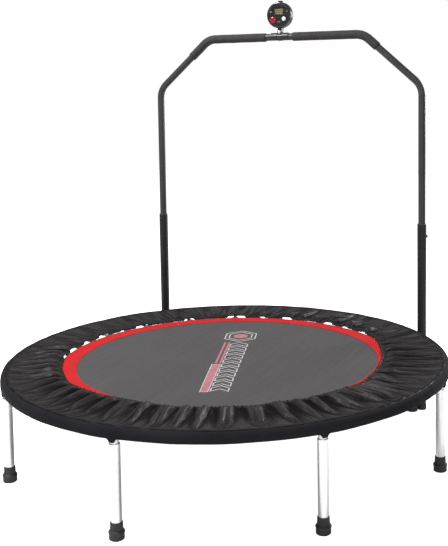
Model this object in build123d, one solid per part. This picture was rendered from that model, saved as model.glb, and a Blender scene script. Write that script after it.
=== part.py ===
"""Mini trampoline, 1.22 m across, with a height-adjustable handlebar and a round jump computer.

Millimetres. +Z is up and the origin is on the floor under the centre of the mat. The handlebar stands
at +Y, and the user faces +Y. Parts that repeat round the hoop are built once on the +X axis, where X is
the radial direction, and are turned about Z. Left and right are the user's: left is -X.
"""
from build123d import *
import os
from math import atan2, cos, hypot, radians, sin

# ---- hoop, legs and feet ----
HOOP_R = 598.5              # centreline of the hoop tube
HOOP_Z = 242.0
TUBE_R = 12.5               # hoop and legs are 25 mm tube
WALL = 1.5
TUBE_BORE_R = TUBE_R - WALL

LEG_COUNT = 8
LEG_RADIUS = 601.0
LEG_TOP_Z = 218.0
LEG_BOTTOM_Z = 6.0
SOCKET_R = 10.0
STUD_R = 5.0
STUD_TOP_Z = 236.0
STUD_CLEARANCE = 0.2
PLUG_LENGTH = 20.0

FOOT_HEIGHT = 40.0
FOOT_TOP_R = 14.2
FOOT_BASE_R = 17.5
FOOT_RIDGE_R = 18.5
FOOT_RIDGE_Z = 18.0

# ---- mat, band, tabs, rings, springs ----
MAT_R = 467.0
MAT_TOP_Z = 245.2
MAT_THICKNESS = 1.2
BAND_INNER_R = 418.0
BAND_THICKNESS = 0.9
SPRING_COUNT = 40
SPRING_Z = 243.0
TAB_WIDTH = 20.0
TAB_INNER_R = 440.0
TAB_THICKNESS = 1.6
TAB_ROLL_R = 3.4
RING_WIRE_R = 1.5
RING_BAR_RADIUS = 472.0     # where the straight side of each triangle ring lies
RING_APEX_RADIUS = 492.0    # its outer corner, before rounding
RING_HALF_WIDTH = 15.0
RING_APEX_CORNER_R = 4.0
RING_SIDE_CORNER_R = 2.4
SPRING_COIL_R = 5.5
SPRING_CORE_R = 3.9
SPRING_WIRE_R = 1.0
LOOP_R = 4.5                # end loops of a spring
END_BAR = 2.6               # the bar across each end of the sleeve that carries a loop
EYE_RADIUS = 586.5          # centre of each welded eye
EYE_LOOP_R = 6.5
EYE_WIRE_R = 2.0
HOOK_GAP = 0.4              # an unloaded hook's play in its ring or eye

# ---- cover ----
COVER_INNER_R = 455.0
COVER_INNER_Z = 250.6       # underside at the elastic edge
COVER_THICKNESS = 2.0
COVER_HOOP_GAP = 0.5
HEM_BOTTOM_Z = 229.0

# ---- lower handle tubes and what holds them ----
HANDLE_RADIUS = 636.0
HANDLE_ANGLES = {"left": 135.0, "right": 45.0}
HANDLE_TUBE_R = 14.0
HANDLE_BORE_R = HANDLE_TUBE_R - WALL
LOWER_BOTTOM_Z = 4.0
LOWER_TOP_Z = 580.0
CAP_R = 15.0
CAP_HEIGHT = 14.0
BOLT_HEIGHTS = (185.0, 78.0)
BOLT_R = 4.0
BOLT_HOLE_R = 4.2
BOLT_HEAD_R = 9.0
BOLT_HEAD_HEIGHT = 4.5
BOLT_TAIL = 3.0
WASHER_R = 9.0
WASHER_THICKNESS = 1.5
NUT_HALF_FLATS = 6.5
NUT_HEIGHT = 6.5
NUT_BORE_R = 4.05
SPACER_WIDTH = 22.0
SPACER_HEIGHT = 24.0
BUSH_DEPTH = 20.0
BUSH_FLANGE = 4.0
BUSH_R = 12.45
BUSH_BORE_R = 11.1

# ---- upper handle ----
BAR_R = 11.0
BAR_BORE_R = 9.5
BAR_Z = 1169.0
BAR_HALF = 265.0            # virtual corner between the top bar and each slope
SHOULDER_Z = 1006.0         # virtual corner between each slope and its upright
BEND_R = 62.0
UPPER_BOTTOM_Z = 380.0
PLUG_DEPTH = 15.0
PLUG_FLANGE = 2.0
HOLE_PITCH = 30.0
HOLE_COUNT = 7              # the modelled height is the top one
GRIP_R = 14.0
GRIP_INNER_X = {"left": -61.5, "right": 31.5}
GRIP_SLOPE = {"left": 85.0, "right": 60.0}

# ---- snap buttons, in each upright's radial direction from the tube's axis ----
BUTTON_Z = 544.0
BUTTON_R = 5.0
BUTTON_INNER = 6.0
BUTTON_TIP = 21.0
BUTTON_HOLE_R = 5.3
LEAF_OUTER = 5.5
LEAF_INNER = -7.1
LEAF_WIDTH = 9.0
LEAF_THICKNESS = 0.8
LEAF_BEND_Z = 500.0
LEAF_TOP_Z = 552.0

# ---- jump computer: x and z from its middle, y from its middle plane, front at -y ----
POD_X = -12.0
POD_HEIGHT = 69.0           # above the bar's axis
POD_R = 41.5
POD_CAVITY_R = 39.5
RIM_ROUND = 4.4
SPLIT_Y = -1.0
FRONT_Y = -13.0
FACE_Y = -11.5
FACE_BACK_Y = -9.5
REAR_Y = 13.0
REAR_INNER_Y = 10.5
FACE_EDGE_R = 35.0
WINDOW_WIDTH = 42.0
WINDOW_HEIGHT = 26.0
WINDOW_Z = 11.0
WINDOW_CORNER_R = 5.0
LENS_GAP = 0.2
LENS_FRONT_Y = -11.2
LENS_BACK_Y = -9.2
DISPLAY_WIDTH = 34.0
DISPLAY_HEIGHT = 21.0
DISPLAY_BACK_Y = -6.2
BOARD_R = 29.0
BOARD_FRONT_Y = -2.6
BOARD_BACK_Y = -1.0
PUSH_BUTTONS = {"red": (-20.5, -15.5, 10.0), "white": (17.5, -12.5, 6.5)}     # x, z, radius
PUSH_GAP = 0.3
PUSH_FLANGE = 1.3
PUSH_BACK_Y = -8.0
PUSH_FRONT_Y = -13.2
PUSH_DOME = 2.0
SWITCH_R = 3.0
SWITCH_FRONT_Y = -6.5
POST_RADIUS = 33.0
POST_R = 3.0
POST_ANGLES = (0.0, 90.0, 180.0)
STANDOFFS = ((0.0, -26.0), (26.5, 2.0), (-26.5, 2.0))
SMALL_SCREW_R = 1.25
SMALL_HEAD_R = 2.6
SMALL_HEAD = 1.4
BATTERY_R = 5.25
BATTERY_HALF = 22.25
BATTERY_Y = 4.9
BATTERY_Z = 5.0
LID_WIDTH = 54.0
LID_HEIGHT = 17.0
LID_THICKNESS = 1.5
LID_GAP = 0.2
LUG_WIDTH = 16.0
LUG_RISE = 4.0
LUG_CORNER_R = 3.0
LUG_Y = (2.0, 8.0)

# ---- computer bracket and strap, from the bar's axis ----
SADDLE_HALF = 30.0
SADDLE_R = 13.7
SADDLE_BORE_R = 11.05
WEB_TOP = 11.5               # the web between the neck and the saddle ends inside the saddle's round top
NECK_HALF_WIDTH = 6.5
NECK_HALF_DEPTH = 6.0
NECK_FILLET = 6.0
STRAP_HALF_WIDTH = 7.0
STRAP_THICKNESS = 1.2
STRAP_TOP = 20.5
STRAP_SCREW_Z = 15.5
STRAP_SCREW_R = 2.5
STRAP_HEAD_R = 5.0
STRAP_HEAD = 3.2
STRAP_NUT = 4.0
TONGUE_BOTTOM = 21.0
TONGUE_TOP = 47.0
TONGUE_THICKNESS = 3.0
TONGUE_SCREW_Z = 40.0
TONGUE_SCREW_X = 3.5

UPRIGHT_X = HANDLE_RADIUS * cos(radians(HANDLE_ANGLES["right"]))
HANDLE_Y = HANDLE_RADIUS * sin(radians(HANDLE_ANGLES["right"]))
RING_HALF_ANGLE = atan2(RING_HALF_WIDTH, RING_APEX_RADIUS - RING_BAR_RADIUS)
RING_APEX_CENTRE = RING_APEX_RADIUS - RING_APEX_CORNER_R / sin(RING_HALF_ANGLE)
RING_APEX_INNER = RING_APEX_CENTRE + RING_APEX_CORNER_R - RING_WIRE_R
INNER_LOOP_X = RING_APEX_INNER - HOOK_GAP - SPRING_WIRE_R + LOOP_R
OUTER_LOOP_X = EYE_RADIUS - EYE_LOOP_R + EYE_WIRE_R + HOOK_GAP + SPRING_WIRE_R - LOOP_R
UP = (Align.CENTER, Align.CENTER, Align.MIN)


# ---- helpers ----
def cylinder(radius, z0, z1, x=0.0, y=0.0):
    """An upright cylinder between two heights."""
    return Pos(x, y, z0) * Cylinder(radius, z1 - z0, align=UP)


def tube(radius, bore, z0, z1, x=0.0, y=0.0):
    return cylinder(radius, z0, z1, x, y) - cylinder(bore, z0, z1, x, y)


def rod_x(radius, x0, x1, y=0.0, z=0.0):
    """A cylinder along X between two places."""
    return Pos(x0, y, z) * Rot(Y=90) * Cylinder(radius, x1 - x0, align=UP)


def rod_y(radius, y0, y1, x=0.0, z=0.0):
    """A cylinder along Y between two places."""
    return Pos(x, y0, z) * Rot(X=-90) * Cylinder(radius, y1 - y0, align=UP)


def block(x0, x1, y0, y1, z0, z1):
    return Pos((x0 + x1) / 2, (y0 + y1) / 2, (z0 + z1) / 2) * Box(x1 - x0, y1 - y0, z1 - z0)


def plate_y(width, height, corner_r, y0, y1, z=0.0):
    """A round-cornered plate square to Y."""
    plane = Plane(origin=(0, y0, z), x_dir=(1, 0, 0), z_dir=(0, 1, 0))
    return extrude(plane * RectangleRounded(width, height, corner_r), y1 - y0)


def turned(outline):
    """A solid of revolution about Z from (radius, height) points."""
    return revolve(make_face(Plane.XZ * Polyline(*outline, close=True)), Axis.Z)


def turned_y(outline, rounded=(), radius=1.0):
    """A solid of revolution about Y from (radius, y) points, with some of its corners rounded."""
    face = make_face(Polyline(*outline, close=True))
    corners = [v for v in face.vertices() if any(hypot(v.X - x, v.Y - y) < 0.01 for x, y in rounded)]
    if corners:
        face = fillet(corners, radius)
    return revolve(face, Axis.Y)


def along(path, section):
    """Sweep a section along a path that it starts square to."""
    start = Plane(origin=path @ 0, z_dir=path % 0)
    return sweep(start * section, path=path)


def spread(shape, count, first=0.0):
    """Copies of a shape, evenly spaced about Z."""
    return [Rot(Z=first + 360.0 * k / count) * shape for k in range(count)]


def write(node, *solids):
    shape = solids[0] if len(solids) == 1 else Compound(children=list(solids))
    export_step(shape, f"parts/{node}.step")


# ---- hoop and legs ----
def full_hoop():
    """The hoop's outer form, without its bore."""
    return Pos(0, 0, HOOP_Z) * Torus(HOOP_R, TUBE_R)


def hoop():
    """The welded hoop, with a hole in its underside for each leg's stud."""
    section = Plane(origin=(HOOP_R, 0, HOOP_Z), z_dir=(0, -1, 0)) * (Circle(TUBE_R) - Circle(TUBE_BORE_R))
    ring = revolve(section, Axis.Z)
    drill = cylinder(STUD_R + STUD_CLEARANCE, HOOP_Z - 2 * TUBE_R, HOOP_Z - 2, LEG_RADIUS)
    for hole in spread(drill, LEG_COUNT, 90):
        ring -= hole
    return ring


def leg_socket():
    """A stub coped to the hoop's underside and bored for the leg's stud."""
    stub = tube(SOCKET_R, STUD_R + STUD_CLEARANCE, LEG_TOP_Z, HOOP_Z, LEG_RADIUS)
    return stub - full_hoop()


def leg_stud():
    """The plug pressed into a leg's top, with the threaded stud that screws into the socket."""
    plug = cylinder(TUBE_BORE_R, LEG_TOP_Z - PLUG_LENGTH, LEG_TOP_Z, LEG_RADIUS)
    return plug + cylinder(STUD_R, LEG_TOP_Z - PLUG_LENGTH, STUD_TOP_Z, LEG_RADIUS)


def leg(bolted):
    """A straight leg. The two beside the handle tubes are drilled for their bolts."""
    shape = tube(TUBE_R, TUBE_BORE_R, LEG_BOTTOM_Z, LEG_TOP_Z, LEG_RADIUS)
    if bolted:
        for z in BOLT_HEIGHTS:
            shape -= rod_x(BOLT_HOLE_R, LEG_RADIUS - 2 * TUBE_R, LEG_RADIUS + 2 * TUBE_R, z=z)
    return shape


def foot():
    """A rubber boot with a raised ridge above its base."""
    outline = [
        (0, 0), (FOOT_BASE_R - 1.5, 0), (FOOT_BASE_R, 1.5), (FOOT_BASE_R, FOOT_RIDGE_Z - 5),
        (FOOT_RIDGE_R, FOOT_RIDGE_Z - 2.5), (FOOT_RIDGE_R, FOOT_RIDGE_Z + 0.5),
        (FOOT_TOP_R + 0.6, FOOT_RIDGE_Z + 4.5), (FOOT_TOP_R, FOOT_HEIGHT - 1),
        (FOOT_TOP_R - 0.7, FOOT_HEIGHT), (TUBE_R, FOOT_HEIGHT), (TUBE_R, LEG_BOTTOM_Z), (0, LEG_BOTTOM_Z),
    ]
    return Pos(LEG_RADIUS, 0, 0) * turned(outline)


# ---- mat and springs ----
def mat():
    return cylinder(MAT_R, MAT_TOP_Z - MAT_THICKNESS, MAT_TOP_Z)


def red_band():
    return tube(MAT_R, BAND_INNER_R, MAT_TOP_Z, MAT_TOP_Z + BAND_THICKNESS)


def mat_tab():
    """A webbing strap under the mat's edge, rolled round a triangle ring's straight side."""
    top = MAT_TOP_Z - MAT_THICKNESS
    half = TAB_WIDTH / 2
    strap = block(TAB_INNER_R, RING_BAR_RADIUS, -half, half, top - TAB_THICKNESS, top)
    strap += rod_y(TAB_ROLL_R, -half, half, RING_BAR_RADIUS, SPRING_Z)
    return strap - rod_y(RING_WIRE_R + 0.1, -2 * half, 2 * half, RING_BAR_RADIUS, SPRING_Z)


def triangle_ring():
    """A closed wire triangle. Its apex points outward to the spring."""
    corners = [(RING_BAR_RADIUS, -RING_HALF_WIDTH), (RING_APEX_RADIUS, 0), (RING_BAR_RADIUS, RING_HALF_WIDTH)]
    face = make_face(Polyline(*corners, close=True))
    face = fillet(face.vertices().sort_by(Axis.X)[-1:], RING_APEX_CORNER_R)
    by_side = face.vertices().sort_by(Axis.Y)
    face = fillet(by_side[:1] + by_side[-1:], RING_SIDE_CORNER_R)
    return Pos(0, 0, SPRING_Z) * along(face.face().outer_wire(), Circle(RING_WIRE_R))


def spring_eye():
    """A wire eye welded to the hoop's inner side, lying flat."""
    return Pos(EYE_RADIUS, 0, SPRING_Z) * Torus(EYE_LOOP_R, EYE_WIRE_R) - full_hoop()


def spring():
    """An extension spring as a sleeve with a full loop at each end, upright in its radial plane."""
    start = INNER_LOOP_X + LOOP_R
    end = OUTER_LOOP_X - LOOP_R
    shape = rod_x(SPRING_COIL_R, start, end) - rod_x(SPRING_CORE_R, start, end)
    reach = SPRING_COIL_R - 0.6
    for x in (start, end - END_BAR):
        shape += block(x, x + END_BAR, -END_BAR / 2, END_BAR / 2, -reach, reach)
    for x in (INNER_LOOP_X, OUTER_LOOP_X):
        shape += Pos(x, 0, 0) * Rot(X=90) * Torus(LOOP_R, SPRING_WIRE_R)
    return Pos(0, 0, SPRING_Z) * shape


# ---- cover ----
def touch_point(start, centre, radius):
    """Where the upper tangent from a point meets a circle."""
    across, up = centre[0] - start[0], centre[1] - start[1]
    reach = hypot(across, up)
    angle = atan2(up, across) + atan2(radius, (reach**2 - radius**2) ** 0.5)
    length = (reach**2 - radius**2) ** 0.5
    return start[0] + length * cos(angle), start[1] + length * sin(angle)


def cover():
    """The fabric cover, from its elastic inner edge over the hoop to its hem."""
    centre = (HOOP_R, HOOP_Z)
    inner_r = TUBE_R + COVER_HOOP_GAP
    outer_r = inner_r + COVER_THICKNESS
    low = (COVER_INNER_R, COVER_INNER_Z)
    high = (COVER_INNER_R, COVER_INNER_Z + COVER_THICKNESS)
    low_touch = touch_point(low, centre, inner_r)
    high_touch = touch_point(high, centre, outer_r)
    middle = radians(45)

    def on_arc(radius):
        return HOOP_R + radius * cos(middle), HOOP_Z + radius * sin(middle)

    inside, outside = HOOP_R + inner_r, HOOP_R + outer_r
    outline = [
        Line(low, low_touch),
        ThreePointArc(low_touch, on_arc(inner_r), (inside, HOOP_Z)),
        Polyline((inside, HOOP_Z), (inside, HEM_BOTTOM_Z), (outside, HEM_BOTTOM_Z), (outside, HOOP_Z)),
        ThreePointArc((outside, HOOP_Z), on_arc(outer_r), high_touch),
        Line(high_touch, high),
        Line(high, low),
    ]
    return revolve(Plane.XZ * make_face([edge for part in outline for edge in part.edges()]), Axis.Z)


# ---- lower handle tubes ----
def lower_tube():
    """A lower handle tube, drilled for its two bolts and, outward, for each handle height."""
    shape = tube(HANDLE_TUBE_R, HANDLE_BORE_R, LOWER_BOTTOM_Z, LOWER_TOP_Z, HANDLE_RADIUS)
    for z in BOLT_HEIGHTS:
        shape -= rod_x(BOLT_HOLE_R, HANDLE_RADIUS - 2 * HANDLE_TUBE_R, HANDLE_RADIUS + 2 * HANDLE_TUBE_R, z=z)
    for k in range(HOLE_COUNT):
        hole_z = BUTTON_Z - k * HOLE_PITCH
        shape -= rod_x(BUTTON_HOLE_R, HANDLE_RADIUS, HANDLE_RADIUS + 2 * HANDLE_TUBE_R, z=hole_z)
    return shape


def tube_end_cap():
    cap = cylinder(CAP_R, 0, CAP_HEIGHT, HANDLE_RADIUS)
    cap = fillet(cap.edges().group_by(Axis.Z)[0], 2)
    return cap - cylinder(HANDLE_TUBE_R, LOWER_BOTTOM_Z, CAP_HEIGHT, HANDLE_RADIUS)


def tube_bushing():
    """The plastic collar in a lower tube's mouth that guides the upper tube."""
    collar = cylinder(BUSH_R, LOWER_TOP_Z - BUSH_DEPTH, LOWER_TOP_Z, HANDLE_RADIUS)
    rim = cylinder(HANDLE_TUBE_R, LOWER_TOP_Z, LOWER_TOP_Z + BUSH_FLANGE, HANDLE_RADIUS)
    rim = fillet(rim.edges().group_by(Axis.Z)[-1], 1.5)
    bore = cylinder(BUSH_BORE_R, LOWER_TOP_Z - BUSH_DEPTH, LOWER_TOP_Z + BUSH_FLANGE, HANDLE_RADIUS)
    return collar + rim - bore


def spacer_block(z):
    """The moulded block between a leg and a handle tube, hollowed to fit both."""
    half = SPACER_WIDTH / 2
    shape = block(LEG_RADIUS, HANDLE_RADIUS, -half, half, z - SPACER_HEIGHT / 2, z + SPACER_HEIGHT / 2)
    for x, radius in ((LEG_RADIUS, TUBE_R), (HANDLE_RADIUS, HANDLE_TUBE_R)):
        shape -= cylinder(radius, z - SPACER_HEIGHT, z + SPACER_HEIGHT, x)
    return shape - rod_x(BOLT_HOLE_R, LEG_RADIUS, HANDLE_RADIUS, z=z)


def handle_bolt(z):
    head_x = HANDLE_RADIUS + HANDLE_TUBE_R
    washer_x = LEG_RADIUS - TUBE_R
    head = rod_x(BOLT_HEAD_R, head_x, head_x + BOLT_HEAD_HEIGHT, z=z)
    head = fillet(head.edges().group_by(Axis.X)[-1], BOLT_HEAD_HEIGHT - 1)
    return head + rod_x(BOLT_R, washer_x - WASHER_THICKNESS - NUT_HEIGHT - BOLT_TAIL, head_x, z=z)


def handle_washer(z):
    x = LEG_RADIUS - TUBE_R
    return rod_x(WASHER_R, x - WASHER_THICKNESS, x, z=z) - rod_x(BOLT_HOLE_R, x - WASHER_THICKNESS, x, z=z)


def handle_nut(z):
    x = LEG_RADIUS - TUBE_R - WASHER_THICKNESS - NUT_HEIGHT
    face = Plane(origin=(x, 0, z), z_dir=(1, 0, 0)) * RegularPolygon(NUT_HALF_FLATS, 6, major_radius=False)
    return extrude(face, NUT_HEIGHT) - rod_x(NUT_BORE_R, x, x + NUT_HEIGHT, z=z)


# ---- upper handle ----
def upper_handle():
    """The U-shaped tube: two uprights, two slopes and the top bar, with a hole for each snap button."""
    right = [(BAR_HALF, BAR_Z), (UPRIGHT_X, SHOULDER_Z), (UPRIGHT_X, UPPER_BOTTOM_Z)]
    corners = [(-x, HANDLE_Y, z) for x, z in reversed(right)] + [(x, HANDLE_Y, z) for x, z in right]
    path = FilletPolyline(*corners, radius=BEND_R)
    shape = along(path, Circle(BAR_R)) - along(path, Circle(BAR_BORE_R))
    for angle in HANDLE_ANGLES.values():
        shape -= Rot(Z=angle) * rod_x(BUTTON_HOLE_R, HANDLE_RADIUS, HANDLE_RADIUS + 2 * BAR_R, z=BUTTON_Z)
    return shape


def grip(side):
    """A foam sleeve from beside the computer, round the bend and down the slope."""
    sign = -1 if side == "left" else 1
    slope = atan2(BAR_Z - SHOULDER_Z, UPRIGHT_X - BAR_HALF)
    run = GRIP_SLOPE[side]
    corners = [
        (GRIP_INNER_X[side], HANDLE_Y, BAR_Z), (sign * BAR_HALF, HANDLE_Y, BAR_Z),
        (sign * (BAR_HALF + run * cos(slope)), HANDLE_Y, BAR_Z - run * sin(slope)),
    ]
    path = FilletPolyline(*corners, radius=BEND_R)
    return along(path, Circle(GRIP_R)) - along(path, Circle(BAR_R))


def handle_end_plug():
    flange = cylinder(BAR_R - 0.2, UPPER_BOTTOM_Z - PLUG_FLANGE, UPPER_BOTTOM_Z, HANDLE_RADIUS)
    return flange + cylinder(BAR_BORE_R - 0.05, UPPER_BOTTOM_Z, UPPER_BOTTOM_Z + PLUG_DEPTH, HANDLE_RADIUS)


def snap_spring():
    """A leaf bent into a U inside the upper tube, pressing the snap button outward."""
    half = LEAF_THICKNESS / 2
    width = LEAF_WIDTH / 2
    middle = (LEAF_OUTER + LEAF_INNER) / 2
    radius = (LEAF_OUTER - LEAF_INNER) / 2
    bend = rod_y(radius + half, -width, width, middle) - rod_y(radius - half, -width, width, middle)
    bend -= block(middle - 2 * radius, middle + 2 * radius, -width, width, 0, 2 * radius)
    rise = LEAF_TOP_Z - LEAF_BEND_Z
    shape = bend + block(LEAF_OUTER - half, LEAF_OUTER + half, -width, width, 0, rise)
    shape += block(LEAF_INNER - half, LEAF_INNER + half, -width, width, 0, rise)
    return Pos(HANDLE_RADIUS, 0, LEAF_BEND_Z) * shape


def snap_button():
    """A domed pin through the upper tube's hole and the lower tube's hole."""
    pin = rod_x(BUTTON_R, HANDLE_RADIUS + BUTTON_INNER, HANDLE_RADIUS + BUTTON_TIP, z=BUTTON_Z)
    return fillet(pin.edges().group_by(Axis.X)[-1], BUTTON_R - 0.6)


# ---- jump computer ----
def casing_front():
    """The front casing: a raised rim round a flat face, with its window, button holes and posts."""
    outline = [
        (0, FACE_Y), (FACE_EDGE_R, FACE_Y), (FACE_EDGE_R + 2, FRONT_Y), (POD_R, FRONT_Y), (POD_R, SPLIT_Y),
        (POD_CAVITY_R, SPLIT_Y), (POD_CAVITY_R, FACE_BACK_Y), (0, FACE_BACK_Y),
    ]
    shape = turned_y(outline, rounded=[(POD_R, FRONT_Y)], radius=RIM_ROUND)
    shape -= plate_y(WINDOW_WIDTH, WINDOW_HEIGHT, WINDOW_CORNER_R, FACE_Y, FACE_BACK_Y, WINDOW_Z)
    for x, z, radius in PUSH_BUTTONS.values():
        shape -= rod_y(radius + PUSH_GAP, FRONT_Y, FACE_BACK_Y, x, z)
    for x, z in post_places():
        post = rod_y(POST_R, FACE_BACK_Y, REAR_INNER_Y, x, z)
        shape += post - rod_y(SMALL_SCREW_R, BOARD_BACK_Y, REAR_INNER_Y, x, z)
    for x, z in STANDOFFS:
        shape += rod_y(2, FACE_BACK_Y, BOARD_FRONT_Y, x, z)
    return shape


def post_places():
    return [(POST_RADIUS * cos(radians(a)), POST_RADIUS * sin(radians(a))) for a in POST_ANGLES]


def casing_rear():
    """The rear casing: a shallow cup with the battery opening, screw holes and a small lug on top."""
    outline = [
        (0, REAR_Y), (POD_R, REAR_Y), (POD_R, SPLIT_Y), (POD_CAVITY_R, SPLIT_Y),
        (POD_CAVITY_R, REAR_INNER_Y), (0, REAR_INNER_Y),
    ]
    shape = turned_y(outline, rounded=[(POD_R, REAR_Y)], radius=RIM_ROUND)
    lug = plate_y(LUG_WIDTH, 2 * LUG_RISE + 2, LUG_CORNER_R, *LUG_Y, POD_R)
    shape += lug - rod_y(POD_R - 1, 0, 10)
    lid_recess = REAR_Y - LID_THICKNESS
    shape -= plate_y(LID_WIDTH + 2 * LID_GAP, LID_HEIGHT + 2 * LID_GAP, 2, lid_recess, REAR_Y, BATTERY_Z)
    shape -= plate_y(LID_WIDTH - 4, LID_HEIGHT - 4, 1, REAR_INNER_Y, REAR_Y, BATTERY_Z)
    for x, z in post_places():
        shape -= rod_y(SMALL_SCREW_R + 0.3, REAR_INNER_Y, REAR_Y, x, z)
        shape -= rod_y(SMALL_HEAD_R + 0.2, REAR_Y - SMALL_HEAD, REAR_Y, x, z)
    for x in (-TONGUE_SCREW_X, TONGUE_SCREW_X):
        shape -= rod_y(SMALL_SCREW_R, REAR_INNER_Y, REAR_Y, x, TONGUE_SCREW_Z - POD_HEIGHT)
    return shape


def lens():
    width, height = WINDOW_WIDTH - 2 * LENS_GAP, WINDOW_HEIGHT - 2 * LENS_GAP
    return plate_y(width, height, WINDOW_CORNER_R - LENS_GAP, LENS_FRONT_Y, LENS_BACK_Y, WINDOW_Z)


def display():
    """The liquid crystal cell, with the rubber connector strip that joins it to the board."""
    cell = plate_y(DISPLAY_WIDTH, DISPLAY_HEIGHT, 0.5, LENS_BACK_Y, DISPLAY_BACK_Y, WINDOW_Z)
    low = WINDOW_Z - DISPLAY_HEIGHT / 2
    half = DISPLAY_WIDTH / 2 - 1
    return cell + block(-half, half, DISPLAY_BACK_Y - 0.5, BOARD_FRONT_Y, low + 0.5, low + 3)


def push_button(colour):
    """A domed push button kept in by a flange behind the face."""
    x, z, radius = PUSH_BUTTONS[colour]
    stem = rod_y(radius, PUSH_FRONT_Y, PUSH_BACK_Y, 0, 0)
    cap_r = (radius**2 + PUSH_DOME**2) / (2 * PUSH_DOME)
    cap = Pos(0, PUSH_FRONT_Y - PUSH_DOME + cap_r, 0) * Sphere(cap_r)
    cap &= rod_y(radius, PUSH_FRONT_Y - 2 * PUSH_DOME, PUSH_FRONT_Y + 0.5)
    flange = rod_y(radius + 1.5, PUSH_BACK_Y - PUSH_FLANGE, PUSH_BACK_Y)
    return Pos(x, 0, z) * (stem + cap + flange)


def casing_screw(x, z):
    head = rod_y(SMALL_HEAD_R, REAR_Y - SMALL_HEAD, REAR_Y, x, z)
    return head + rod_y(SMALL_SCREW_R - 0.05, BOARD_BACK_Y + 1, REAR_Y, x, z)


def battery_contact(sign):
    """A sprung plate between the board and one end of the battery."""
    x0, x1 = sorted((sign * BATTERY_HALF, sign * (BATTERY_HALF + 0.6)))
    return block(x0, x1, BOARD_BACK_Y, BATTERY_Y + 4, BATTERY_Z - 4, BATTERY_Z + 4)


def bracket():
    """The moulded bracket: a split saddle on the bar, a neck, and a tongue behind the rear casing."""
    neck_top = POD_HEIGHT - POD_R + 3
    neck = Pos(0, neck_top / 2) * Rectangle(2 * NECK_HALF_WIDTH, neck_top)
    base = Pos(0, WEB_TOP / 2) * Rectangle(2 * SADDLE_HALF, WEB_TOP)
    face = neck + base
    corners = [v for v in face.vertices() if abs(v.Y - WEB_TOP) < 0.01]
    face = fillet([v for v in corners if abs(abs(v.X) - NECK_HALF_WIDTH) < 0.01], NECK_FILLET)
    shape = extrude(Plane.XZ * face, NECK_HALF_DEPTH, both=True)
    shape -= rod_y(POD_R, -20, 20, 0, POD_HEIGHT)
    saddle = rod_x(SADDLE_R, -SADDLE_HALF, SADDLE_HALF)
    saddle -= block(-SADDLE_HALF, SADDLE_HALF, -2 * SADDLE_R, 2 * SADDLE_R, -2 * SADDLE_R, 0)
    shape += saddle
    shape -= rod_x(SADDLE_BORE_R, -SADDLE_HALF, SADDLE_HALF)
    for side in (-1, 1):
        y0, y1 = sorted((side * NECK_HALF_DEPTH, side * 2 * SADDLE_R))
        shape -= block(-STRAP_HALF_WIDTH - 0.3, STRAP_HALF_WIDTH + 0.3, y0, y1, 0, TONGUE_BOTTOM)
    half = NECK_HALF_WIDTH
    pod = Pos(0, 0, POD_HEIGHT) * rod_y(POD_R, -20, REAR_Y)
    tongue = block(-half, half, 0, REAR_Y + TONGUE_THICKNESS, TONGUE_BOTTOM, POD_HEIGHT - POD_R + 1)
    tongue += block(-half, half, REAR_Y, REAR_Y + TONGUE_THICKNESS, TONGUE_BOTTOM, TONGUE_TOP)
    shape += tongue - pod
    for x in (-TONGUE_SCREW_X, TONGUE_SCREW_X):
        shape -= rod_y(SMALL_SCREW_R + 0.3, REAR_Y, REAR_Y + TONGUE_THICKNESS, x, TONGUE_SCREW_Z)
    return shape - rod_y(STRAP_SCREW_R + 0.2, -NECK_HALF_DEPTH, NECK_HALF_DEPTH, 0, STRAP_SCREW_Z)


def strap():
    """The steel strap under the bar, with a tab each side of the neck."""
    half = STRAP_HALF_WIDTH
    outer = NECK_HALF_DEPTH + STRAP_THICKNESS
    shape = rod_x(SADDLE_BORE_R + STRAP_THICKNESS, -half, half)
    shape -= block(-half, half, -NECK_HALF_DEPTH, NECK_HALF_DEPTH, 0, 2 * SADDLE_R)
    for side in (-1, 1):
        y0, y1 = sorted((side * NECK_HALF_DEPTH, side * outer))
        shape += block(-half, half, y0, y1, 0, STRAP_TOP)
    shape -= rod_x(SADDLE_BORE_R, -half, half)
    return shape - rod_y(STRAP_SCREW_R + 0.2, -2 * outer, 2 * outer, 0, STRAP_SCREW_Z)


def strap_screw():
    outer = NECK_HALF_DEPTH + STRAP_THICKNESS
    head = rod_y(STRAP_HEAD_R, -outer - STRAP_HEAD, -outer, 0, STRAP_SCREW_Z)
    head = fillet(head.edges().group_by(Axis.Y)[0], STRAP_HEAD - 0.8)
    return head + rod_y(STRAP_SCREW_R, -outer, outer + STRAP_NUT + 1.5, 0, STRAP_SCREW_Z)


def strap_nut():
    outer = NECK_HALF_DEPTH + STRAP_THICKNESS
    plane = Plane(origin=(0, outer, STRAP_SCREW_Z), x_dir=(1, 0, 0), z_dir=(0, 1, 0))
    nut = extrude(plane * RegularPolygon(4, 6, major_radius=False), STRAP_NUT)
    return nut - rod_y(STRAP_SCREW_R + 0.05, outer, outer + STRAP_NUT, 0, STRAP_SCREW_Z)


def bracket_screw(x):
    outer = REAR_Y + TONGUE_THICKNESS
    head = rod_y(SMALL_HEAD_R, outer, outer + SMALL_HEAD, x, TONGUE_SCREW_Z)
    return head + rod_y(SMALL_SCREW_R - 0.05, REAR_INNER_Y, outer, x, TONGUE_SCREW_Z)


def write_hoop_and_legs():
    write("frame_ring", hoop())
    write("leg_sockets", *spread(leg_socket(), LEG_COUNT, 90))
    write("leg_studs", *spread(leg_stud(), LEG_COUNT, 90))
    step = 360.0 / LEG_COUNT
    for k in range(LEG_COUNT):
        angle = 90 + k * step
        bolted = angle % 360 in HANDLE_ANGLES.values()
        write(f"leg_{k + 1}", Rot(Z=angle) * leg(bolted))
        write(f"foot_{k + 1}", Rot(Z=angle) * foot())


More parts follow.
